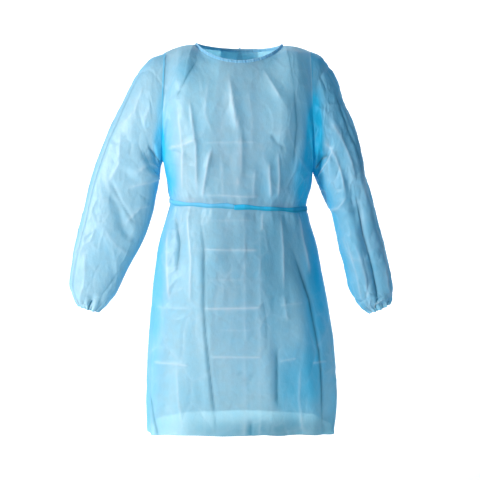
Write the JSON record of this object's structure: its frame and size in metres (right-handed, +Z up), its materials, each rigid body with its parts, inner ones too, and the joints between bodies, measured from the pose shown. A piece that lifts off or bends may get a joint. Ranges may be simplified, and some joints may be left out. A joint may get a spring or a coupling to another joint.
{
  "type": "isolation gown",
  "caption": "Long-sleeved light-blue non-woven isolation gown, hollow as worn, with a bound round neck, gathered elastic cuffs, a waist tie and an overlapped back closed by ties.",
  "frame": {"origin": "between the shoulders, midway between the neck's two side points and level with them: where the wearer's shoulders carry the gown", "axes": "+Z up along the wearer, +X to the wearer's left, which is the picture's right, -Y out of the front"},
  "size_m": [0.9219, 0.2962, 1.1176],
  "materials": {
    "non_woven_cloth": "thin translucent light-blue spun-bonded non-woven cloth, soft low sheen, fine fibre grain, crumpled and creased from packing",
    "non_woven_trim": "the same non-woven cloth doubled into narrow strips, so denser in colour, for the neck binding and the ties"
  },
  "bodies": {
    "root": {"front_bodice": "non_woven_cloth", "front_skirt": "non_woven_cloth", "back_right_bodice": "non_woven_cloth", "back_right_skirt": "non_woven_cloth", "back_left_bodice": "non_woven_cloth", "back_left_skirt": "non_woven_cloth", "sleeve_right": "non_woven_cloth", "sleeve_left": "non_woven_cloth", "cuff_right": "non_woven_cloth", "cuff_left": "non_woven_cloth", "neck_binding": "non_woven_trim", "neck_knot": "non_woven_trim", "neck_tail_right": "non_woven_trim", "neck_tail_left": "non_woven_trim", "waist_tie_right": "non_woven_trim", "waist_tie_left": "non_woven_trim", "waist_knot": "non_woven_trim", "waist_tail_right": "non_woven_trim", "waist_tail_left": "non_woven_trim"}
  },
  "joints": []
}
